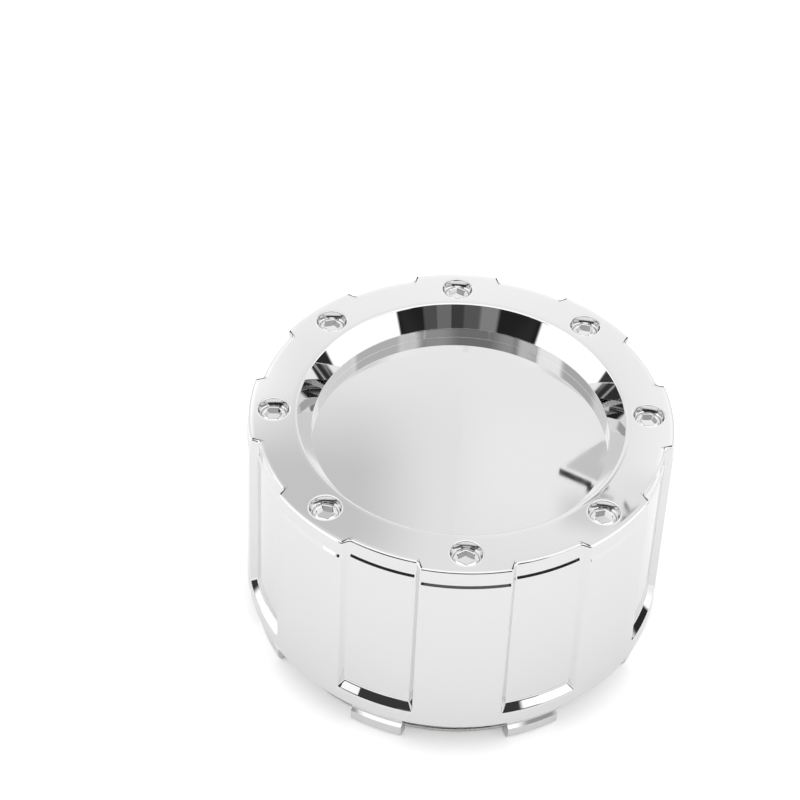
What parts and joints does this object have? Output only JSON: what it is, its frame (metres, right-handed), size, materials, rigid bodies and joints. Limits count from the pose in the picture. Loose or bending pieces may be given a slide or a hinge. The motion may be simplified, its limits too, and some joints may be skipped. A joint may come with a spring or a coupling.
{
  "type": "wheel center cap",
  "caption": "Deep chrome wheel center cap: a round cup with a dished face, moulded screw heads, recessed panels round its side, and snap tabs sprung out by a wire ring.",
  "frame": {"origin": "on the cap's axis, at the height of the snap tabs' tips, which the cap stands on", "axes": "+Z along the cap's axis, out of its face; -Y through the middle of one screw head"},
  "size_m": [0.1318, 0.1318, 0.0801],
  "materials": {
    "chrome_shell": "mirror",
    "spring_wire": "satin"
  },
  "bodies": {
    "root": {"cap_shell": "chrome_shell", "retaining_ring": "spring_wire"}
  },
  "joints": []
}
